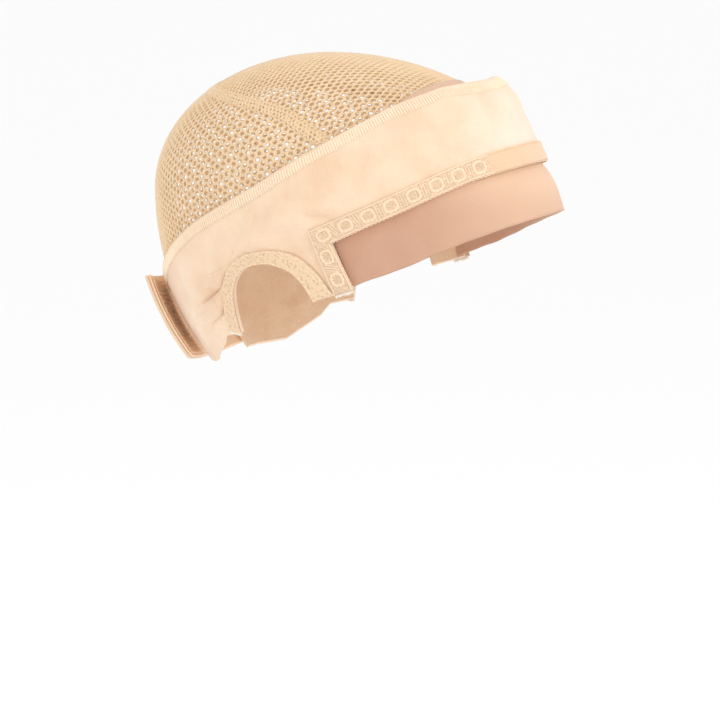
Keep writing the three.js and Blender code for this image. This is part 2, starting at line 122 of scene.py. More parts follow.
# Folds: around, height, heading (0 along the band, 90 up it), length, width, rise
FOLDS = [
    (82, -8, 25, 26, 5, 2.2), (92, -8, 160, 24, 4.5, 1.6), (66, -3, 12, 30, 6, 1.6),
    (131, -15, 35, 22, 4.5, 2.2), (137, -20, 10, 22, 4, 1.8), (141, -24, 150, 20, 4, 1.5),
    (20, 3, 70, 16, 5, 1.8), (44, 0, 150, 26, 6, 1.4), (-6, 2, 100, 18, 5, 1.6),
    (-40, -1, 20, 26, 6, 1.4), (-70, -4, 165, 28, 6, 1.5), (-86, -8, 30, 24, 5, 2),
    (-133, -16, 145, 22, 4.5, 2), (-140, -22, 20, 20, 4, 1.6),
]
# Creases, the same columns: narrow ones, sunk in or raised
CREASES = [
    (124, -18.9, 174, 32, 1.7, -2.4), (127, -22.4, 174, 32, 2, 4.2), (129, -25.9, 168, 30, 1.7, -2.4),
    (132, -29, 168, 26, 2, 3.8), (121, -15.6, 176, 26, 2, 2.8), (117, -14.2, 4, 16, 1.5, -1.3),
    (73.5, -10.8, 20, 16, 1.8, -0.8), (77, -6.5, 22, 42, 2.2, 1.3), (99.5, -6.7, 133, 30, 1.5, 1.2),
    (109, -12.5, 118, 14, 1.6, -0.7), (10, 2.2, 140, 10, 2.2, -0.9), (3, -4.7, 50, 16, 2.5, -0.9),
    (27, -8.2, 35, 20, 2, -0.8), (39.5, -2.5, 20, 20, 2, -0.8), (52, 3, 12, 26, 2, -0.7),
    (-3, -4, 110, 14, 3, -1), (-20, -2, 130, 16, 2.2, -0.9), (-47, 0, 160, 24, 2, -0.8),
    (-75, -11, 160, 16, 1.8, -0.9), (-99, -7, 47, 28, 1.6, 0.8), (-125, -19, 6, 20, 1.5, -1.4),
    (-129, -25, 10, 20, 1.5, -1.4),
]
FOLD_TAPER = (0.2, 0.6)
FOLD_FADE = {"edge": (4.4, 6.8), "arch": (4.5, 6.3)}
HEM = {"rise": 0.35, "flat": 4.4, "end": 5.9}
PUCKER = {"rise": 0.3, "pitch": 7.5, "from": 5.4, "full": 9.4, "fade": 9, "drift": 2, "drift_pitch": 9}
# Colours as read off a screen, 0 to 255; the nap's sizes are in metres
VELVET_TINTS = {"ground": ((234, 199, 166), (245, 218, 189)), "painted_highlight": (251, 236, 220)}
VELVET_NAP = {"patch": 0.022, "pile": 0.0006, "dent": 0.004, "relief": 0.0005}
# The band's front, forward of these two places along Y in metres, is painted paler towards white: a painted
# highlight where the lamps light it most.
PAINTED_HIGHLIGHT_FROM, PAINTED_HIGHLIGHT_TO = -0.075, -0.112


def paint(colour):
    """The shader's colour for one read off a screen."""
    screen = np.array(colour) / 255
    linear = np.where(screen < 0.04045, screen / 12.92, ((screen + 0.055) / 1.055) ** 2.4)
    return (*linear.tolist(), 1)


class Wire:
    """A shader socket that takes part in sums: each operator adds a Math node to its tree."""

    def __init__(self, tree, socket):
        self.tree = tree
        self.socket = socket

    def node(self, kind, settings=None, inputs=None, output=0):
        """Adds a node: its settings are set first, then its sockets get values or links."""
        made = self.tree.nodes.new(kind)
        for name, value in (settings or {}).items():
            setattr(made, name, value)
        for key, value in (inputs or {}).items():
            if isinstance(value, Wire):
                self.tree.links.new(value.socket, made.inputs[key])
            else:
                made.inputs[key].default_value = value
        return Wire(self.tree, made.outputs[output])

    def math(self, operation, *values):
        return self.node("ShaderNodeMath", {"operation": operation}, dict(enumerate(values)))

    def __add__(self, other):
        return self.math("ADD", self, other)

    def __sub__(self, other):
        return self.math("SUBTRACT", self, other)

    def __rsub__(self, other):
        return self.math("SUBTRACT", other, self)

    def __mul__(self, other):
        return self.math("MULTIPLY", self, other)

    __radd__ = __add__
    __rmul__ = __mul__

    def step(self, low, high):
        """0 below low and 1 above high, smooth between."""
        inputs = {"Value": self, "From Min": low, "From Max": high}
        return self.node("ShaderNodeMapRange", {"interpolation_type": "SMOOTHSTEP"}, inputs)

    def noise(self, size, detail=2.0):
        """Noise from 0 to 1 over this vector, with lumps of about this size in metres."""
        inputs = {"Vector": self, "Scale": 1 / size, "Detail": detail}
        return self.node("ShaderNodeTexNoise", {}, inputs)

    def tint(self, low, high):
        """A colour between two, by this value; each is a wire or a colour read off a screen."""
        low, high = (end if isinstance(end, Wire) else paint(end) for end in (low, high))
        return self.node("ShaderNodeMix", {"data_type": "RGBA"}, {0: self, 6: low, 7: high}, 2)

    def feed(self, shader, name):
        self.tree.links.new(self.socket, shader.inputs[name])

    def bump(self, shader, depth, strength=1.0):
        """Feeds this value to the shader as relief, so many metres deep."""
        inputs = {"Height": self, "Distance": depth, "Strength": strength}
        self.node("ShaderNodeBump", {}, inputs).feed(shader, "Normal")


def cloth(name, roughness, sheen):
    """A new cloth material: itself, its shader, and the piece's own coordinates."""
    material = bpy.data.materials.new(name)
    material.use_nodes = True
    tree = material.node_tree
    shader = tree.nodes["Principled BSDF"]
    shader.inputs["Roughness"].default_value = roughness
    shader.inputs["Specular IOR Level"].default_value = 0.2
    shader.inputs["Sheen Weight"].default_value = sheen
    shader.inputs["Sheen Roughness"].default_value = 0.5
    return material, shader, Wire(tree, None).node("ShaderNodeTexCoord", output="Object")


def read(table, angle, column=1):
    """A table's column at an angle, the same on both sides of the cap."""
    rows = np.array(table)
    return np.interp(np.abs(angle), rows[:, 0], rows[:, column])


def read_soft(table, angle, reach=5, column=1):
    """The same with its corners rounded."""
    shifts = np.linspace(-reach, reach, 7)
    return np.mean([read(table, angle + shift, column) for shift in shifts], axis=0)


def ease(value, low, high):
    share = np.clip((value - low) / (high - low), 0, 1)
    return share * share * (3 - 2 * share)


def direction(around, height):
    """Unit vectors from the form's centre to places on the cap."""
    turn, climb = np.radians(around)[..., None], np.radians(height)[..., None]
    level = np.cos(turn) * BAND_FRONT + np.sin(turn) * BAND_RIGHT
    return np.cos(climb) * level + np.sin(climb) * BAND_UP


def over_form(towards, stand_off):
    """Points over the form in these directions, standing off its surface."""
    along = np.where(towards[..., 1] < 0, FORM["front"], FORM["back"])
    upright = np.where(towards[..., 2] > 0, FORM["up"], FORM["down"])
    axes = np.stack([np.full_like(along, FORM["side"]), along, upright], axis=-1)
    point = towards / np.linalg.norm(towards / axes, axis=-1, keepdims=True)
    normal = point / axes**2
    normal /= np.linalg.norm(normal, axis=-1, keepdims=True)
    return point + normal * np.asarray(stand_off)[..., None] - [0, 0, FORM["up"]]


def place(around, height, stand_off):
    return over_form(direction(around, height), stand_off)


def curve_through(points, count):
    """Evenly spread points on a smooth curve through these ones."""
    points = np.array(points, dtype=float)
    slopes = np.gradient(points, axis=0)
    spots = np.linspace(0, len(points) - 1, 30 * len(points))
    k = np.minimum(spots.astype(int), len(points) - 2)
    x = (spots - k)[:, None]
    path = (1 + 2 * x) * (1 - x) ** 2 * points[k] + x * (1 - x) ** 2 * slopes[k]
    path += x * x * (3 - 2 * x) * points[k + 1] + x * x * (x - 1) * slopes[k + 1]
    run = np.append(0, np.cumsum(np.linalg.norm(np.diff(path, axis=0), axis=1)))
    even = np.linspace(0, run[-1], count)
    return np.stack([np.interp(even, run, column) for column in path.T], axis=-1)


tab_foot = [(TAB["front"], TAB["foot"])]
arch_line = curve_through(EAR_ARCH, ARCH_POINTS)
band_bottom = np.vstack([FRONT_BOTTOM, tab_foot, arch_line, NAPE_BOTTOM])


def fold_rise(around, height):
    """The folds' rise at a place; they fade out by the lower edge and the arch, where lace is sewn on."""
    rise = 0
    for fold_around, fold_height, heading, length, width, fold in FOLDS + CREASES:
        level = (around - fold_around) * MM_PER_DEGREE * np.cos(np.radians(height))
        above = (height - fold_height) * MM_PER_DEGREE
        turn = math.radians(heading)
        along = level * math.cos(turn) + above * math.sin(turn)
        across = above * math.cos(turn) - level * math.sin(turn)
        taper = 1 - ease(np.abs(along) / length, *FOLD_TAPER)
        rise = rise + fold * taper * np.exp(-((across / width) ** 2))
    level, above = np.abs(around)[..., None] - arch_line[:, 0], height[..., None] - arch_line[:, 1]
    from_arch = np.hypot(level, above).min(axis=-1)
    above_edge = height - read(band_bottom, around)
    return rise * ease(above_edge, *FOLD_FADE["edge"]) * ease(from_arch, *FOLD_FADE["arch"])


def velvet_seat(around, height):
    """How far the velvet's inner face stands off the form."""
    side = ease(np.abs(around), *SEAT_CHANGE)
    seat = VELVET["front_seat"] * (1 - side) + VELVET["back_seat"] * side
    lift = np.exp(-((around / FRONT_LIFT["spread"]) ** 2)) * FRONT_LIFT["rise"]
    lift = lift * ease(height, FRONT_LIFT["low"], FRONT_LIFT["high"])
    curl = EDGE_CURL["share"] * ease(height, EDGE_CURL["low"], EDGE_CURL["high"])
    return seat + lift * (1 - curl) + fold_rise(around, height)


def velvet_face(around, height):
    return velvet_seat(around, height) + VELVET["wall"]


def lay_sheet(name, columns, rows, put, wall, rim):
    """A sheet of cloth: put gives its inner face at shares along and up, in millimetres."""
    bpy.ops.object.select_all(action="DESELECT")
    bpy.ops.mesh.primitive_grid_add(x_subdivisions=columns, y_subdivisions=rows, size=2)
    sheet = bpy.context.object
    sheet.name = name
    spots = np.empty(3 * len(sheet.data.vertices))
    sheet.data.vertices.foreach_get("co", spots)
    along, climb = (spots.reshape(-1, 3)[:, :2].T + 1) / 2
    sheet.data.vertices.foreach_set("co", (put(along, climb) / 1000).ravel())
    thicken = sheet.modifiers.new("thicken", "SOLIDIFY")
    thicken.thickness = wall / 1000
    thicken.offset = 1
    bpy.ops.object.modifier_apply(modifier=thicken.name)
    if rim:
        soften = sheet.modifiers.new("soften", "BEVEL")
        soften.width = rim / 1000
        soften.segments = 2
        soften.limit_method = "ANGLE"
        soften.angle_limit = math.radians(50)
        bpy.ops.object.modifier_apply(modifier=soften.name)
    sheet.data.shade_smooth()
    return sheet


def thread_mesh(name, paths, radius, sides=5, ring=False, aside=None):
    """Round threads along paths (thread, point, xyz), joined in one mesh; a ring closes on itself.
    Aside is a direction that no thread runs in, if that isn't the way out from the form."""
    paths = np.asarray(paths)
    if aside is None:
        aside = paths + [0, 0, FORM["up"]]
    run = np.gradient(paths, axis=1)
    if ring:
        run = np.roll(paths, -1, axis=1) - np.roll(paths, 1, axis=1)
    run /= np.linalg.norm(run, axis=-1, keepdims=True)
    side = np.cross(run, aside)
    side /= np.linalg.norm(side, axis=-1, keepdims=True)
    lift = np.cross(side, run)
    turn = (np.arange(sides) * 2 * np.pi / sides)[:, None]
    rings = np.cos(turn) * side[:, :, None] + np.sin(turn) * lift[:, :, None]
    points = paths[:, :, None] + rings * np.broadcast_to(radius, paths.shape[:2])[..., None, None]
    number = np.arange(points.size // 3).reshape(points.shape[:3])
    here, ahead = number[:, :-1], number[:, 1:]
    if ring:
        here, ahead = number, np.roll(number, -1, axis=1)
    faces = np.stack([here, ahead, np.roll(ahead, -1, 2), np.roll(here, -1, 2)], axis=-1)
    faces = faces.reshape(-1, 4).tolist()
    if not ring:
        faces += number[:, 0].tolist() + number[:, -1, ::-1].tolist()
    mesh = bpy.data.meshes.new(name)
    mesh.from_pydata((points.reshape(-1, 3) / 1000).tolist(), [], faces)
    mesh.shade_smooth()
    threads = bpy.data.objects.new(name, mesh)
    bpy.context.collection.objects.link(threads)
    return threads


def finish_piece(piece, material):
    piece.data.materials.append(material)
    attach(piece, "root")


def band_angles(step):
    """Angles from the right nape end to the left one, at each corner of the lower edge and between."""
    half = [0.0]
    for stop in band_bottom[1:, 0]:
        count = max(1, math.ceil((stop - half[-1]) / step))
        half += np.linspace(half[-1], stop, count + 1)[1:].tolist()
    return np.array(half[:0:-1] + [-angle for angle in half])


def hem_lift(around, height):
    """How far the hem's thickness and the puckers under it raise the velvet."""
    below = (read_soft(BAND_TOP, around) - height) * MM_PER_DEGREE
    drift = PUCKER["drift"] * np.sin(around / PUCKER["drift_pitch"])
    pucker = np.sin(around * MM_PER_DEGREE * 2 * np.pi / PUCKER["pitch"] + drift)
    pucker = PUCKER["rise"] * pucker * np.exp(-below / PUCKER["fade"])
    pucker = pucker * ease(below, PUCKER["from"], PUCKER["full"])
    return HEM["rise"] * (1 - ease(below, HEM["flat"], HEM["end"])) + pucker


angles = band_angles(BAND_STEP)


def band_spot(along, climb):
    around = np.interp(along, np.linspace(0, 1, len(angles)), angles)
    tab_share = TAB_ROWS / (TAB_ROWS + BODY_ROWS)
    waist = read_soft(BAND_WAIST, around)
    top = read_soft(BAND_TOP, around)
    in_tab = np.clip(climb / tab_share, 0, 1)
    in_body = np.clip((climb - tab_share) / (1 - tab_share), 0, 1)
    bottom = read(band_bottom, around)
    height = bottom + (waist - bottom) * in_tab + (top - waist) * in_body
    return place(around, height, velvet_seat(around, height) + hem_lift(around, height))


velvet_band = lay_sheet(
    "velvet_band_cloth", len(angles) - 1, TAB_ROWS + BODY_ROWS, band_spot, VELVET["wall"], VELVET["rim"]
)
velvet, shader, spot = cloth("velvet", 0.9, 0.5)
nap = spot.noise(VELVET_NAP["patch"], 3).step(0.3, 0.7)
pile = spot.noise(VELVET_NAP["pile"], 1)
forward = spot.node("ShaderNodeSeparateXYZ", {}, {"Vector": spot}, "Y")
# Painted highlight: over the front of the band the velvet's colour is mixed towards a pale near-white.
painted_highlight = 1 - forward.step(PAINTED_HIGHLIGHT_TO, PAINTED_HIGHLIGHT_FROM)
ground = (nap * 0.75 + pile * 0.25).tint(*VELVET_TINTS["ground"])
(painted_highlight * 0.8).tint(ground, VELVET_TINTS["painted_highlight"]).feed(shader, "Base Color")
(pile + spot.noise(VELVET_NAP["dent"]) * 1.5).bump(shader, VELVET_NAP["relief"], 0.6)
finish_piece(velvet_band, velvet)
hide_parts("velvet_band")

# Overlock: soft sewing thread in loops close together over the band's upper edge, from the hem line
# round to the inside, so that the cut velvet doesn't fray.
OVERLOCK = {"pitch": 1.35, "thread": 0.6, "reach": 5.4, "over": 0.2, "slant": 0.4, "stray": 0.03}
OVERLOCK_SUNK, LOOP_POINTS = 0.12, 13
EDGE = {"inset": 0.5, "steps": 900}
SEWING = {"patch": 0.003, "grain": 0.0003, "relief": 0.0002, "strength": 0.5}
SEWING_TINTS = ((248, 221, 190), (254, 235, 209))
chance = np.random.default_rng(5)


def plain_cloth(name, roughness, sheen, tints, patch, grain, relief, strength, detail=1):
    """A cloth or thread of one uneven colour: its patches and its grain are sizes in metres."""
    material, shader, spot = cloth(name, roughness, sheen)
    spot.noise(patch).tint(*tints).feed(shader, "Base Color")
    spot.noise(grain, detail).bump(shader, relief, strength)
    return material


def through_velvet(around, height, share, lift):
    """Points a share of the way through the velvet, square to its folds, and lifted."""
    step = 0.2  # degrees to either side that the slope is taken over

    def inner(turn, climb):
        seat = velvet_seat(around + turn, height + climb) + hem_lift(around + turn, height + climb)
        return place(around + turn, height + climb, seat)

    square = np.cross(inner(0, step) - inner(0, -step), inner(step, 0) - inner(-step, 0))
    square /= np.linalg.norm(square, axis=-1, keepdims=True)
    return inner(0, 0) + square * (VELVET["wall"] * share + lift)[..., None]


edge_reach = NAPE_END - EDGE["inset"]
edge_around = np.linspace(edge_reach, -edge_reach, EDGE["steps"])
edge_height = read_soft(BAND_TOP, edge_around)
edge_steps = np.diff(place(edge_around, edge_height, velvet_face(edge_around, edge_height)), axis=0)
edge_run = np.append(0, np.cumsum(np.linalg.norm(edge_steps, axis=1)))
loop_count = round(edge_run[-1] / OVERLOCK["pitch"])
loop_around = np.interp(np.linspace(0, edge_run[-1], loop_count), edge_run, edge_around)
loop_around = (loop_around + chance.normal(0, OVERLOCK["stray"], loop_count))[:, None]
loop_reach = (OVERLOCK["reach"] + chance.normal(0, 2 * OVERLOCK["stray"], loop_count))[:, None]
over = np.linspace(-1, 1, LOOP_POINTS)
loop_height = read_soft(BAND_TOP, loop_around) + OVERLOCK["over"]
loop_height = loop_height - np.abs(over) * loop_reach / MM_PER_DEGREE
through = (1 + np.clip(over * 3, -1, 1)) / 2  # only the loop's middle third passes from face to face
loop_lift = -OVERLOCK_SUNK * np.sign(over)
loops = through_velvet(loop_around + OVERLOCK["slant"] * over, loop_height, through, loop_lift)
along_edge = np.cross(BAND_UP, loops + [0, 0, FORM["up"]])
overlock = thread_mesh("velvet_band_overlock", loops, OVERLOCK["thread"], aside=along_edge)
sewing = plain_cloth("sewing_thread", 0.7, 0.3, SEWING_TINTS, **SEWING)
finish_piece(overlock, sewing)

# Front lace: a sheer strip of fine tulle laid under the front of the band, its cut lower edge flaring
# out a little and its upper edge showing above the band.
# Rows of the table: around, lower edge, upper edge.
FRONT_LACE = [
    (0, -27.8, 15.8), (14, -28.6, 15.9), (24, -30.1, 15.2), (34, -32, 13.2), (45, -34.2, 6),
    (54, -35.6, -1), (63, -36, -8), (75.5, -36.6, -14),
]
LACE_REACH = 75.5
LACE_FLARE = {"rise": 11, "spread": 30, "from": 16.2, "to": 29, "power": 0.8}
LACE_RIPPLE = {"rise": 0.25, "rate": 0.55, "from": 22, "to": 34}
LACE = {"seat": 1.4, "wall": 0.5, "columns": 150, "rows": 56}
TULLE = {"mesh": 0.0009, "length": 0.25, "height": 0.062, "patch": 0.015, "relief": 0.00005}
TULLE_TINTS = ((207, 158, 131), (241, 206, 176))
PALE_FRONT, PALE_CROWN = (-0.112, -0.06), (-0.07, -0.045)


def lace_spot(along, climb):
    around = LACE_REACH * (1 - 2 * along)
    lower = read_soft(FRONT_LACE, around, 4, 1)
    upper = read_soft(FRONT_LACE, around, 4, 2)
    height = lower + (upper - lower) * climb
    flare = LACE_FLARE["rise"] * np.exp(-((around / LACE_FLARE["spread"]) ** 2))
    below = np.clip((-height - LACE_FLARE["from"]) / (LACE_FLARE["to"] - LACE_FLARE["from"]), 0, 1)
    flare *= below ** LACE_FLARE["power"]
    ripple = LACE_RIPPLE["rise"] * np.sin(around * LACE_RIPPLE["rate"])
    ripple *= ease(-height, LACE_RIPPLE["from"], LACE_RIPPLE["to"])
    return place(around, height, LACE["seat"] + flare + ripple)


front_lace = lay_sheet("front_lace_cloth", LACE["columns"], LACE["rows"], lace_spot, LACE["wall"], 0)
tulle, shader, spot = cloth("sheer_tulle", 0.8, 0.2)
y, z = (spot.node("ShaderNodeSeparateXYZ", {}, {"Vector": spot}, axis) for axis in "YZ")
fore = 1 - y.step(*PALE_FRONT)
crown = z.step(*PALE_CROWN)
cut = spot.node("ShaderNodeTexCoord", output="UV")
cut_x, cut_y = (spot.node("ShaderNodeSeparateXYZ", {}, {"Vector": cut}, axis) for axis in "XY")
ripples = 2 * math.pi / (TULLE["mesh"] * math.sqrt(0.75))
level = cut_x * (TULLE["length"] * ripples)
upright = cut_y * (TULLE["height"] * ripples * math.sqrt(0.75))
waves = (level, level * 0.5 + upright, level * 0.5 - upright)
opening = sum(wave.math("COSINE", wave) for wave in waves)
web = 1 - opening.step(-0.7, 1.2)
shade = fore * 0.6 + crown * 0.55 + spot.noise(TULLE["patch"]) * 0.15 + web * 0.05
shade.tint(*TULLE_TINTS).feed(shader, "Base Color")
(0.8 - fore * 0.14 + web * 0.08).feed(shader, "Alpha")
web.bump(shader, TULLE["relief"], 0.3)
finish_piece(front_lace, tulle)
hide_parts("front_lace")

# Lace trim: a knitted lace tape sewn along the band's front edge and folded down both tabs, with
# beaded rosettes, ladder bars between them, a cord along each edge and picots at the lower one.
# Over the middle of the front a plain tape is sewn on it, and the tabs' cut ends are frayed.
TRIM = {"width": 4.4, "corner_width": 5.9, "wall": 0.6}
TRIM_LEG = {"foot": 71.6, "foot_width": 7.4, "corner_width": 5.2, "foot_rise": 0.3}
TRIM_STEPS = {"leg": 24, "front": 130, "corner_power": 6, "width_power": 2}
ROSETTE = {"pitch": 10.8, "past_corner": 2.4, "half": 2.3, "longer": 1.22, "power": 3}
ROSETTE_RING = {"cord": 0.85, "sunk": 0.3, "beads": 10, "swell": 0.2}
ROSETTE_EYE = {"reach": 1.5, "cord": 0.3, "start": 0.12, "radians": 14, "points": 34}
LEG_ROSETTES = np.array([9.5, 20.5])
LADDER = {"spread": np.array([-1.3, 0, 1.3]), "longest": 14, "cord": 0.27, "shares": (0.08, 0.92)}
EDGE_CORD = {"radius": 0.42, "inset": 0.3, "steps": 420, "shares": (0.03, 0.97), "lift": 0.8}
PICOT = {"pitch": 2.1, "reach": 0.45, "half": 0.9, "cord": 0.26}
PLAIN_TAPE = {"reach": 21, "sunk": 6, "lift": 0.5, "wall": 0.5, "rim": 0.2, "groove_shade": 0.92}
TAPE_ACROSS = {"from": -0.02, "width": 1.06, "wave": 0.1, "wave_rate": 9}
TAPE_WEAVE = {"ribs": 330, "waver": 1.5, "patch": 0.01, "relief": 0.0001}
ROSETTES_FROM = 18
FRAY = {"threads": 34, "length": 1.5, "cord": 0.2, "shares": (0.02, 0.98), "shortest": 0.4, "sewn": 0.6}
LACE_KNIT = {"stitch": 0.0011, "relief": 0.0003}
LACE_YARN = {"grain": 0.0005, "relief": 0.0003, "strength": 0.7}
LACE_TINTS = {
    "ground": ((241, 210, 178), (232, 198, 165)),
    "cord": ((241, 211, 179), (249, 225, 196)),
    "eye": ((236, 208, 173), (245, 220, 187)),
    "plain_tape": ((228, 189, 154), (238, 205, 172)),
    "cut_end": ((246, 234, 216), (255, 250, 242)),
}


def trim_lines():
    """The trim's outer and inner edge, from the right tab's foot round the front to the left one's."""
    reach, corner = FRONT_BOTTOM[-1]
    leg = np.linspace(0, 1, TRIM_STEPS["leg"], endpoint=False)
    front = np.linspace(1, 0, TRIM_STEPS["front"])
    turn = front ** TRIM_STEPS["corner_power"]
    edge = read_soft(FRONT_BOTTOM, front * reach, 3)
    foot = TAB["foot"] + TRIM_LEG["foot_rise"]
    width = TRIM["width"] + (TRIM["corner_width"] - TRIM["width"]) * front ** TRIM_STEPS["width_power"]
    leg_edge = TRIM_LEG["foot"] + (reach - TRIM_LEG["foot"]) * leg
    leg_width = TRIM_LEG["foot_width"] + (TRIM_LEG["corner_width"] - TRIM_LEG["foot_width"]) * leg
    on_leg = np.stack([
        leg_edge,
        TAB["foot"] + (TAB["corner"] - TAB["foot"]) * leg,
        leg_edge + leg_width,
        foot + (corner + TRIM["corner_width"] - foot) * leg,
    ])
    inner = front * reach + TRIM_LEG["corner_width"] * turn
    on_front = np.stack([front * reach, edge, inner, edge + width])
    half = np.concatenate([on_leg, on_front], axis=1)
    return np.concatenate([half, half[:, -2::-1] * [[-1], [1], [-1], [1]]], axis=1)


trim_edges = trim_lines()
trim_middle = (trim_edges[:2] + trim_edges[2:]) / 2
trim_steps = np.diff(place(*trim_middle, np.zeros(trim_middle.shape[1])), axis=0)
trim_run = np.append(0, np.cumsum(np.linalg.norm(trim_steps, axis=1)))
trim_length = trim_run[-1]


def on_trim(distance, share, lift):
    """A place on the trim: so far along it, a share across it, and lifted off the velvet."""
    edge_around, edge_height, around, height = (np.interp(distance, trim_run, line) for line in trim_edges)
    around = edge_around + (around - edge_around) * share
    height = edge_height + (height - edge_height) * share
    return place(around, height, velvet_face(around, height) + GAP + lift)


def round_trim(distance, along, across, lift):
    """Places so many millimetres along and across from spots on the trim's middle line."""
    around, height = (np.interp(distance, trim_run, line)[:, None] for line in trim_middle)
    ahead, behind = (
        np.stack([np.interp(distance + step, trim_run, line) for line in trim_edges[:2]])
        for step in (1, -1)
    )
    run = (ahead - behind)[:, :, None]
    flush = np.zeros_like(around)
    here = place(around, height, flush)
    wide = np.linalg.norm(place(around + 1, height, flush) - here, axis=-1)
    tall = np.linalg.norm(place(around, height + 1, flush) - here, axis=-1)
    level, climb = run[0] * wide, run[1] * tall
    level, climb = level / np.hypot(level, climb), climb / np.hypot(level, climb)
    around = around + (along * level + across * climb) / wide
    height = height + (along * climb - across * level) / tall
    return place(around, height, velvet_face(around, height) + GAP + lift)


def trim_spot(along, climb):
    return on_trim(along * trim_length, climb, 0)


trim_tape = lay_sheet("front_trim_tape", columns=300, rows=8, put=trim_spot, wall=TRIM["wall"], rim=0)
lace_ground, shader, spot = cloth("lace_ground", 0.9, 0.3)
stitch = {"Vector": spot, "Scale": 1 / LACE_KNIT["stitch"]}
knit = spot.node("ShaderNodeTexVoronoi", {"feature": "DISTANCE_TO_EDGE"}, stitch).step(0.05, 0.3)
knit.tint(*LACE_TINTS["ground"]).feed(shader, "Base Color")
(1 - knit).bump(shader, LACE_KNIT["relief"])
finish_piece(trim_tape, lace_ground)
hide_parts("front_trim")

corner_at = trim_run[TRIM_STEPS["leg"]]
front_at = np.arange(corner_at + ROSETTE["past_corner"], trim_length / 2, ROSETTE["pitch"])
front_at = front_at[np.interp(front_at, trim_run, trim_middle[0]) > ROSETTES_FROM]
half_at = np.concatenate([corner_at - LEG_ROSETTES[::-1], front_at])
rosette_at = np.concatenate([half_at, trim_length - half_at[::-1]])
turn = np.linspace(0, 2 * np.pi, 4 * ROSETTE_RING["beads"], endpoint=False)
power = ROSETTE["power"]
square = ROSETTE["half"] * (np.abs(np.cos(turn)) ** power + np.abs(np.sin(turn)) ** power) ** (-1 / power)
beads = ROSETTE_RING["cord"] * (1 + ROSETTE_RING["swell"] * np.cos(turn * ROSETTE_RING["beads"]))
ring_along, ring_across = ROSETTE["longer"] * square * np.cos(turn), square * np.sin(turn)
rosettes = thread_mesh(
    "front_trim_rosettes",
    round_trim(rosette_at, ring_along, ring_across, TRIM["wall"] - ROSETTE_RING["sunk"]),
    beads, 6, ring=True,
)
coil = np.linspace(ROSETTE_EYE["start"], 1, ROSETTE_EYE["points"])
coil_reach, coil_turn = ROSETTE_EYE["reach"] * coil, ROSETTE_EYE["radians"] * coil
coil_along, coil_across = coil_reach * np.cos(coil_turn), coil_reach * np.sin(coil_turn)
eye_paths = round_trim(rosette_at, coil_along, coil_across, TRIM["wall"])
eyes = thread_mesh("front_trim_eyes", eye_paths, ROSETTE_EYE["cord"], 4)
spaces = np.diff(rosette_at)
bar_at = (rosette_at[:-1] + spaces / 2)[spaces < LADDER["longest"]]
bar_at = (bar_at[:, None] + LADDER["spread"]).ravel()
bar_at = np.append(bar_at, [corner_at, trim_length - corner_at])[:, None]
bar_paths = on_trim(bar_at, np.linspace(*LADDER["shares"], 7), TRIM["wall"])
bars = thread_mesh("front_trim_bars", bar_paths, LADDER["cord"])
cord_along = np.linspace(EDGE_CORD["inset"], trim_length - EDGE_CORD["inset"], EDGE_CORD["steps"])
cord_share = np.array(EDGE_CORD["shares"])[:, None]
cord_paths = on_trim(cord_along, cord_share, TRIM["wall"] * EDGE_CORD["lift"])
cords = thread_mesh("front_trim_cords", cord_paths, EDGE_CORD["radius"])
picot_at = np.arange(PICOT["pitch"], trim_length, PICOT["pitch"])[:, None]
bow = np.linspace(0, np.pi, 7)
picot_share = -PICOT["reach"] * np.sin(bow) / (TRIM["width"] * MM_PER_DEGREE)
picot_paths = on_trim(picot_at - PICOT["half"] * np.cos(bow), picot_share, TRIM["wall"] / 2)
picots = thread_mesh("front_trim_picots", picot_paths, PICOT["cord"])
lace_cord = plain_cloth("lace_cord", 0.8, 0.3, LACE_TINTS["cord"], patch=0.006, **LACE_YARN)
lace_eye = plain_cloth("lace_eye", 0.85, 0.3, LACE_TINTS["eye"], patch=0.004, **LACE_YARN)
finish_piece(eyes, lace_eye)
for lace_piece in (rosettes, bars, cords, picots):
    finish_piece(lace_piece, lace_cord)

tape_around = PLAIN_TAPE["reach"] * np.array([-1, 1])
tape_from, tape_to = np.interp(tape_around, trim_middle[0, ::-1], trim_run[::-1])


def plain_tape_spot(along, climb):
    """The tape lies on the trim, and both its ends sink into it."""
    distance = tape_to + (tape_from - tape_to) * along
    from_end = np.minimum(np.abs(distance - tape_to), np.abs(distance - tape_from))
    sunk = (PLAIN_TAPE["lift"] + PLAIN_TAPE["wall"]) * (1 - ease(from_end, 0, PLAIN_TAPE["sunk"]))
    wave = TAPE_ACROSS["wave"] * np.sin(climb * TAPE_ACROSS["wave_rate"])
    share = TAPE_ACROSS["width"] * climb + TAPE_ACROSS["from"]
    return on_trim(distance, share, PLAIN_TAPE["lift"] + wave - sunk)


plain_tape = lay_sheet(
    "front_trim_plain_tape", columns=70, rows=10, put=plain_tape_spot,
    wall=PLAIN_TAPE["wall"], rim=PLAIN_TAPE["rim"],
)
tape_cloth, shader, spot = cloth("plain_tape", 0.75, 0.3)
ribs = {"Vector": spot, "Scale": TAPE_WEAVE["ribs"], "Distortion": TAPE_WEAVE["waver"]}
weave = spot.node("ShaderNodeTexWave", {"bands_direction": "Z"}, ribs)
worn = weave * 0.4 + spot.noise(TAPE_WEAVE["patch"]) * 0.6
cut = spot.node("ShaderNodeTexCoord", output="UV")
# A darker line is painted along the tape near its rim: painted shade of a shallow groove, which has no relief
# of its own.
from_rim = spot.node("ShaderNodeSeparateXYZ", {}, {"Vector": cut}, "Y") - PLAIN_TAPE["groove_shade"]
groove_shade = 1 - from_rim.math("ABSOLUTE", from_rim).step(0.02, 0.06)
(worn - groove_shade * 0.8).tint(*LACE_TINTS["plain_tape"]).feed(shader, "Base Color")
weave.bump(shader, TAPE_WEAVE["relief"])
finish_piece(plain_tape, tape_cloth)

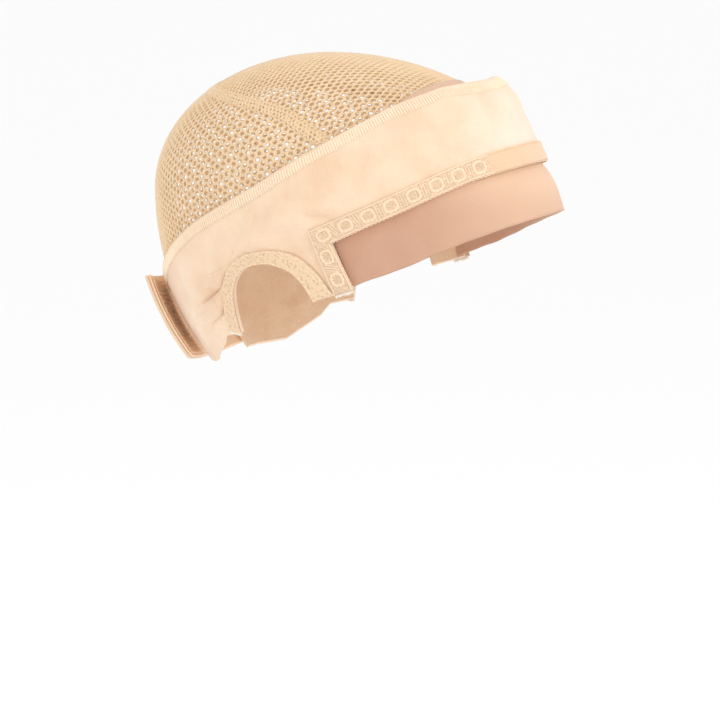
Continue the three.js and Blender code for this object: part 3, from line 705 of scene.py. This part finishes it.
fray_share = np.linspace(*FRAY["shares"], FRAY["threads"])[:, None]
fray_length = chance.uniform(FRAY["shortest"], 1, fray_share.shape) * FRAY["length"] / MM_PER_DEGREE
fray_fall = np.linspace(-FRAY["sewn"], 1, 5) * fray_length
fray_around = TRIM_LEG["foot"] + TRIM_LEG["foot_width"] * fray_share
fray_height = TAB["foot"] + TRIM_LEG["foot_rise"] * fray_share
tab_ends = [
    place(side * fray_around, fray_height - fray_fall, velvet_face(side * fray_around, fray_height) + GAP)
    for side in (1, -1)
]
frayed_ends = thread_mesh("front_trim_frayed_ends", np.concatenate(tab_ends), FRAY["cord"])
cut_thread = plain_cloth(
    "cut_thread", 0.9, 0.3, LACE_TINTS["cut_end"], patch=0.002, grain=0.0004, relief=0.0002, strength=0.6
)
finish_piece(frayed_ends, cut_thread)
sewn_on = [overlock, trim_tape, rosettes, eyes, bars, cords, picots, plain_tape, frayed_ends]

# Ear lace: a narrow close lace sewn round each ear arch, grainy with pinholes, held by a line of
# stitches along both edges.
EAR_LACE = {"wall": 0.8, "clear": 0.4, "rim": 0.25, "steps": 120}
EAR_KNIT = {"grain": 0.0009, "pinholes": 0.0021, "relief": 0.0003}
EAR_TINTS = ((206, 162, 121), (245, 215, 180))
# Width: share of the way from the tab round the arch, width
EAR_WIDTH = np.array([(0, 13), (0.2, 10), (0.4, 6.3), (0.65, 6), (1, 7)])
EAR_STITCH = {
    "pitch": 2.6, "half": 0.9, "cord": 0.2, "shares": (0.1, 0.9), "end": 1, "proud": 0.1, "dip": 0.3,
}
ear_line = curve_through(EAR_ARCH, EAR_LACE["steps"] + 1)
ear_in = np.gradient(ear_line, axis=0)[:, ::-1] * [-1, 1]
ear_in /= np.linalg.norm(ear_in, axis=1, keepdims=True)
ear_length = np.linalg.norm(np.diff(ear_line, axis=0), axis=1).sum() * MM_PER_DEGREE


def on_ear(side, share, across, lift):
    """A place on one side's lace: a share along the arch, a share in from its edge, and lifted."""
    inwards = across * np.interp(share, EAR_WIDTH[:, 0], EAR_WIDTH[:, 1])
    stops = np.linspace(0, 1, len(ear_line))
    line = [np.interp(share, stops, column) for column in ear_line.T]
    slope = [np.interp(share, stops, column) for column in ear_in.T]
    around = line[0] + slope[0] * inwards / MM_PER_DEGREE
    around = side * np.maximum(around, TRIM_LEG["foot"] + TRIM_LEG["foot_width"] + EAR_LACE["clear"])
    height = line[1] + slope[1] * inwards / MM_PER_DEGREE
    return place(around, height, velvet_face(around, height) + GAP + lift)


ear_cloth, shader, spot = cloth("ear_lace", 0.9, 0.3)
flat_size = (ear_length / 1000, EAR_WIDTH[:, 1].mean() / 1000, 1)
cut = spot.node("ShaderNodeTexCoord", output="UV")
flat_spot = spot.node("ShaderNodeMapping", {}, {"Vector": cut, "Scale": flat_size})
flat_cells = {"voronoi_dimensions": "2D", "feature": "F1"}
grain, pins = (
    spot.node("ShaderNodeTexVoronoi", flat_cells, {"Vector": flat_spot, "Scale": 1 / EAR_KNIT[cell]})
    for cell in ("grain", "pinholes")
)
# The pinholes are painted darker: painted shade in the holes. The colour also darkens towards the edge of
# each grain.
pinhole = 1 - pins.step(0.1, 0.24)
close = 1 - pinhole * 0.16 - grain * 0.3
close.tint(*EAR_TINTS).feed(shader, "Base Color")
(1 - grain - pinhole).bump(shader, EAR_KNIT["relief"])
stitch_at = np.arange(EAR_STITCH["pitch"], ear_length - EAR_STITCH["end"], EAR_STITCH["pitch"])[:, None]
dash = np.linspace(-1, 1, 5)
stitch_share = (stitch_at + EAR_STITCH["half"] * dash) / ear_length
stitch_lift = EAR_LACE["wall"] + EAR_STITCH["proud"] - EAR_STITCH["dip"] * dash**2
cut_width = EAR_WIDTH[-1, 1] / MM_PER_DEGREE
cut_around, cut_height = (ear_line[-1] + ear_in[-1] * fray_share * cut_width).T[:, :, None]
cut_run = ear_line[-1] - ear_line[-2]
cut_run /= np.linalg.norm(cut_run)
fray_around, fray_height = cut_around + cut_run[0] * fray_fall, cut_height + cut_run[1] * fray_fall
for side, word in ((1, "right"), (-1, "left")):
    ear_lace = lay_sheet(
        f"ear_lace_{word}_cloth",
        columns=EAR_LACE["steps"],
        rows=12,
        put=lambda along, climb: on_ear(side, 0.5 - side * (along - 0.5), climb, 0),
        wall=EAR_LACE["wall"],
        rim=EAR_LACE["rim"],
    )
    finish_piece(ear_lace, ear_cloth)
    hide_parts(f"ear_lace_{word}")
    rows = [on_ear(side, stitch_share, across, stitch_lift) for across in EAR_STITCH["shares"]]
    stitches = thread_mesh(f"ear_lace_{word}_stitches", np.concatenate(rows), EAR_STITCH["cord"])
    finish_piece(stitches, sewing)
    cut_off = velvet_face(side * cut_around, cut_height) + GAP
    cut_end = place(side * fray_around, fray_height, cut_off)
    ear_fray = thread_mesh(f"ear_lace_{word}_frayed_end", cut_end, FRAY["cord"])
    finish_piece(ear_fray, cut_thread)
    sewn_on += [ear_lace, stitches, ear_fray]

# Crown net: two panels of open knitted net, an oval one over the top and a crescent round the back,
# tucked under the band and the seam. One knitted cell is copied over each panel.
SEAM = [
    (58.4, 6.2), (61.4, 11.7), (67.2, 22.2), (71.5, 29.2), (80.2, 36.7), (97.2, 47.4), (129.5, 59), (180, 65),
]
NET = {"pitch": 3.4, "hole": 0.9, "strand": 0.6, "knot": 0.8, "seat": 0.5}
NET_PULL = {"top": (0.68, -0.2), "back": (-0.3, 0.3)}
NET_TUCK = 3.5
SEAM_TUCK = 1.2
NET_EDGE = {"seam_steps": 121, "band_steps": 80}
SEAM_POINTS = 241
CELL_SPOTS = 12
MERGE_WITHIN = 0.00003
NET_YARN = {"patch": 0.012, "twist": 0.0007, "relief": 0.0004}
NET_TINTS = ((230, 196, 152), (250, 224, 188))
TOP_SPREAD = {"side": 75, "along": 95}
BACK_CONE = {"radius": 84, "share": 0.38, "apex": 2.4}
seam_right = [direction(np.float64(around), np.float64(height)) for around, height in SEAM]
seam_left = [spot * [-1, 1, 1] for spot in seam_right[-2::-1]]
seam_line = curve_through(seam_right + seam_left, SEAM_POINTS)
seam_line /= np.linalg.norm(seam_line, axis=1, keepdims=True)
seam_line = over_form(seam_line, np.zeros(len(seam_line))) + [0, 0, FORM["up"]]
seam_run = np.gradient(seam_line, axis=0)
seam_aside = np.cross(seam_line, seam_run)
seam_aside /= np.linalg.norm(seam_aside, axis=1, keepdims=True)
seam_length = np.linalg.norm(np.diff(seam_line, axis=0), axis=1).sum()


def beside_seam(distance, aside):
    """Directions from the form's centre to places so far along the seam and beside it, towards the back."""
    stops = np.linspace(0, seam_length, len(seam_line))
    line = np.stack([np.interp(distance, stops, column) for column in seam_line.T], axis=-1)
    out = np.stack([np.interp(distance, stops, column) for column in seam_aside.T], axis=-1)
    towards = line + out * np.asarray(aside)[..., None]
    return towards / np.linalg.norm(towards, axis=-1, keepdims=True)


def top_flat(towards):
    point = over_form(towards, np.zeros(len(towards))) + [0, 0, FORM["up"]]
    along = np.where(point[:, 1] < 0, FORM["front"], FORM["back"])
    x, y, z = point[:, 0] / FORM["side"], point[:, 1] / along, point[:, 2] / FORM["up"]
    reach = np.arccos(np.clip(z, -1, 1)) / np.maximum(np.hypot(x, y), 1e-9)
    return np.stack([x * reach * TOP_SPREAD["side"], y * reach * TOP_SPREAD["along"]], axis=-1)


def top_lay(flat):
    x, y = flat[..., 0] / TOP_SPREAD["side"], flat[..., 1] / TOP_SPREAD["along"]
    reach = np.maximum(np.hypot(x, y), 1e-9)
    level = np.sin(reach) / reach
    along = np.where(y < 0, FORM["front"], FORM["back"])
    towards = np.stack([x * level * FORM["side"], y * level * along, np.cos(reach) * FORM["up"]], axis=-1)
    return towards / np.linalg.norm(towards, axis=-1, keepdims=True)


def back_flat(towards):
    turn = np.arctan2(-towards[:, 0], towards[:, 1]) * BACK_CONE["share"]
    slope = (BACK_CONE["apex"] - np.arcsin(towards[:, 2])) * BACK_CONE["radius"]
    return np.stack([slope * np.sin(turn), -slope * np.cos(turn)], axis=-1)


def back_lay(flat):
    turn = -np.arctan2(flat[..., 0], -flat[..., 1]) / BACK_CONE["share"]
    height = BACK_CONE["apex"] - np.hypot(flat[..., 0], flat[..., 1]) / BACK_CONE["radius"]
    return np.stack([np.cos(height) * np.sin(turn), np.cos(height) * np.cos(turn), np.sin(height)], axis=-1)


def inside(outline, spots):
    """True for the flat spots that lie inside an outline."""
    within = np.zeros(len(spots), dtype=bool)
    for a, b in zip(outline, np.roll(outline, -1, axis=0)):
        crosses = (a[1] > spots[:, 1]) != (b[1] > spots[:, 1])
        reach = a[0] + (b[0] - a[0]) * (spots[:, 1] - a[1]) / (b[1] - a[1] if b[1] != a[1] else 1)
        within ^= crosses & (spots[:, 0] < reach)
    return within


def net_outline(flatten, aside, band_from, band_to):
    """A panel's flat edge: along the seam and back under the band's upper edge."""
    seam_at = np.linspace(0, seam_length, NET_EDGE["seam_steps"])
    seam_edge = beside_seam(seam_at, np.full_like(seam_at, aside))
    around = np.linspace(band_from, band_to, NET_EDGE["band_steps"])[1:-1]
    folded = np.where(around > 180, 360 - around, around)
    band_edge = direction(around, read_soft(BAND_TOP, folded) - NET_TUCK)
    return flatten(np.concatenate([seam_edge, band_edge]))


def net_mesh(name, centres, lay, pull, pitch, hole, strand, knot, seat):
    """Knitted cells at flat centres, laid over the form: six sides round each, and a round hole that
    the pull, a flat vector, draws out along itself."""
    k = np.arange(CELL_SPOTS)
    ahead = (k + 1) % CELL_SPOTS
    turn = np.radians(k * 360 / CELL_SPOTS)
    corner = k % 2 == 1
    reach = pitch / math.sqrt(3) * np.where(corner, 1, math.cos(math.pi / 6))
    arms = np.stack([np.cos(turn), np.sin(turn)], axis=-1)
    border = arms * reach[:, None]
    eye = hole * (arms + np.outer(arms @ pull, pull))
    cell = np.concatenate([border, border, eye])
    thick = np.where(corner, knot, strand)
    lift = np.concatenate([thick, -thick, np.zeros(CELL_SPOTS)])
    flat = centres[:, None] + cell
    points = over_form(lay(flat), seat + lift + np.zeros(flat.shape[:2]))
    under, at_eye = CELL_SPOTS, 2 * CELL_SPOTS
    outer = np.stack([k, ahead, ahead + at_eye, k + at_eye], axis=-1)
    inner = np.stack([k + under, k + at_eye, ahead + at_eye, ahead + under], axis=-1)
    faces = np.concatenate([outer, inner])[None] + len(cell) * np.arange(len(centres))[:, None, None]
    mesh = bpy.data.meshes.new(name)
    mesh.from_pydata((points.reshape(-1, 3) / 1000).tolist(), [], faces.reshape(-1, 4).tolist())
    net = bpy.data.objects.new(name, mesh)
    bpy.context.collection.objects.link(net)
    bpy.ops.object.select_all(action="DESELECT")
    bpy.context.view_layer.objects.active = net
    net.select_set(True)
    bpy.ops.object.mode_set(mode="EDIT")
    bpy.ops.mesh.select_all(action="SELECT")
    bpy.ops.mesh.remove_doubles(threshold=MERGE_WITHIN)
    bpy.ops.object.mode_set(mode="OBJECT")
    net.data.shade_smooth()
    return net


def cell_centres(low, high, pitch):
    """Centres of six-sided cells over a flat box."""
    rise = pitch * math.sqrt(0.75)
    rows = np.arange(math.floor(low[1] / rise), math.ceil(high[1] / rise) + 1)
    columns = np.arange(math.floor(low[0] / pitch), math.ceil(high[0] / pitch) + 1)
    x = columns[None, :] * pitch + (rows % 2)[:, None] * pitch / 2
    y = rows[:, None] * rise + 0 * x
    return np.stack([x, y], axis=-1).reshape(-1, 2)


def lay_net(name, outline, lay, pull):
    """One panel of the net, cut to its flat outline, in place of the solid of this name."""
    centres = cell_centres(outline.min(axis=0), outline.max(axis=0), NET["pitch"])
    net = net_mesh(f"{name}_cloth", centres[inside(outline, centres)], lay, pull, **NET)
    finish_piece(net, net_cloth)
    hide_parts(name)
    return net


net_cloth, shader, spot = cloth("knitted_net", 0.85, 0.3)
twist = spot.noise(NET_YARN["twist"], 1)
yarn = spot.noise(NET_YARN["patch"]) * 0.6 + twist * 0.4
yarn.tint(*NET_TINTS).feed(shader, "Base Color")
twist.bump(shader, NET_YARN["relief"], 0.8)
seam_end = SEAM[0][0]
top_outline = net_outline(top_flat, SEAM_TUCK, -seam_end, seam_end)
net_top = lay_net("crown_net_top", top_outline, top_lay, NET_PULL["top"])
back_outline = net_outline(back_flat, -SEAM_TUCK, 360 - seam_end, seam_end)
net_back = lay_net("crown_net_back", back_outline, back_lay, NET_PULL["back"])

# Crown seam: the two panels' edges doubled and sewn down in a narrow strip of close net, with a
# ridge along each side.
SEAM_NET = {"pitch": 2.2, "hole": 0.42, "strand": 0.5, "knot": 0.7, "seat": 0.85}
SEAM_PULL = (0, 0.4)
SEAM_WIDTH, SEAM_RIM = 6.5, 0.8
SEAM_RIDGE = {"radius": 0.5, "inset": 0.5, "steps": 900, "lumps": 0.3, "pitch": 1.8}
SEAM_WOBBLE = {"reach": 0.25, "rate": 1.9}
seam_centres = cell_centres((0, -SEAM_WIDTH / 2), (seam_length, SEAM_WIDTH / 2), SEAM_NET["pitch"])
seam_at, seam_off = seam_centres.T
on_strip = (seam_at > 0) & (seam_at < seam_length) & (np.abs(seam_off) < SEAM_WIDTH / 2 - SEAM_RIM)
seam = net_mesh(
    "crown_seam_cloth",
    seam_centres[on_strip],
    lambda flat: beside_seam(flat[..., 0], -flat[..., 1]),
    SEAM_PULL,
    **SEAM_NET,
)
finish_piece(seam, net_cloth)
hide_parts("crown_seam")
ridge_edge = SEAM_WIDTH / 2 - SEAM_RIDGE["inset"]
ridge_steps = np.linspace(0, seam_length, SEAM_RIDGE["steps"])
ridge_at, ridge_aside = np.meshgrid(ridge_steps, [-ridge_edge, ridge_edge])
ridge_aside = ridge_aside + SEAM_WOBBLE["reach"] * np.sin(ridge_at * SEAM_WOBBLE["rate"])
lumps = SEAM_RIDGE["lumps"] * np.sin(ridge_at * 2 * np.pi / SEAM_RIDGE["pitch"])
ridge_paths = over_form(beside_seam(ridge_at, ridge_aside), np.full_like(ridge_at, SEAM_NET["seat"]))
ridges = thread_mesh("crown_seam_ridges", ridge_paths, SEAM_RIDGE["radius"] * (1 + lumps), 6)
finish_piece(ridges, net_cloth)

# Nape strap: two thicknesses of the grip cloth, sewn to the band's left end and reaching over its
# right end, where the free end stands off. Its table: degrees past the middle of the nape, seat.
STRAP = [(-32, 4.2), (-14, 4.2), (-4, 4.7), (6, 5.6), (13, 6.5), (20, 8.2), (28, 10.5)]
STRAP_MIDDLE = -16
STRAP_HALF = 12.5
STRAP_LAYER = {"inner": 1.3, "gap": 0.1, "outer": 1.6, "rim": 0.5}
LINING = {"patch": 0.004, "grain": 0.0006, "relief": 0.0004, "strength": 0.6, "detail": 2}
LINING_TINTS = ((246, 206, 170), (253, 222, 190))


def strap_spot(past, height, lift):
    """A place on the strap: degrees past the middle of the nape, height, and lift off its seat."""
    past, height, lift = np.broadcast_arrays(past, height, lift)
    rows = np.array(STRAP)
    seat = np.interp(past, rows[:, 0], rows[:, 1])
    return place(180 - past, height, seat + lift)


def strap_layer(name, lift, wall):
    def put(along, climb):
        past = STRAP[0][0] + (STRAP[-1][0] - STRAP[0][0]) * along
        return strap_spot(past, STRAP_MIDDLE + (2 * climb - 1) * STRAP_HALF, lift)

    return lay_sheet(name, columns=70, rows=30, put=put, wall=wall, rim=STRAP_LAYER["rim"])


strap_inner = strap_layer("nape_strap_inner", 0, STRAP_LAYER["inner"])
outer_lift = STRAP_LAYER["inner"] + STRAP_LAYER["gap"]
strap_outer = strap_layer("nape_strap_outer", outer_lift, STRAP_LAYER["outer"])
lining = plain_cloth("strap_lining", 0.9, 0.3, LINING_TINTS, **LINING)
finish_piece(strap_outer, velvet)
finish_piece(strap_inner, lining)
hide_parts("nape_strap")

# Hook tape: a woven nylon tape sewn inside the strap's free end, with rows of small moulded hooks
# that catch in the velvet.
HOOK_TAPE = {"from": 3, "to": 27.4, "half": 11.9, "wall": 0.5, "gap": 0.2}
HOOK = {"pitch": 1.8, "reach": 0.3, "curl": 2.2, "turned": 0.15, "lean": 0.4, "wire": 0.14, "inset": 1.2}
NYLON = {"patch": 0.002, "grain": 0.0006, "relief": 0.0003, "strength": 0.5, "detail": 2}
NYLON_TINTS = ((254, 212, 176), (255, 227, 195))
tape_lift = -HOOK_TAPE["wall"] - HOOK_TAPE["gap"]


def tape_spot(along, climb):
    past = HOOK_TAPE["from"] + (HOOK_TAPE["to"] - HOOK_TAPE["from"]) * along
    return strap_spot(past, STRAP_MIDDLE + (2 * climb - 1) * HOOK_TAPE["half"], tape_lift)


hook_tape = lay_sheet("hook_tape_cloth", columns=40, rows=30, put=tape_spot, wall=HOOK_TAPE["wall"], rim=0)
hook_step = HOOK["pitch"] / MM_PER_DEGREE
hook_past = np.arange(HOOK_TAPE["from"] + HOOK["inset"], HOOK_TAPE["to"] - HOOK["inset"], hook_step)
hook_height = np.arange(HOOK["inset"] - HOOK_TAPE["half"], HOOK_TAPE["half"] - HOOK["inset"], hook_step)
hook_past, hook_height = (grid.reshape(-1, 1) for grid in np.meshgrid(hook_past, hook_height))
bend = np.linspace(0, 1, 6)
hook_drop = HOOK["reach"] * np.sin(bend * HOOK["curl"]) - HOOK["turned"] * bend**3
hook_paths = strap_spot(
    hook_past + HOOK["lean"] * bend**2 / MM_PER_DEGREE, STRAP_MIDDLE + hook_height, tape_lift - hook_drop
)
hooks = thread_mesh("hook_tape_hooks", hook_paths, HOOK["wire"], 4, aside=BAND_UP)
nylon = plain_cloth("hook_nylon", 0.5, 0, NYLON_TINTS, **NYLON)
finish_piece(hook_tape, nylon)
finish_piece(hooks, nylon)
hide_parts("hook_tape")
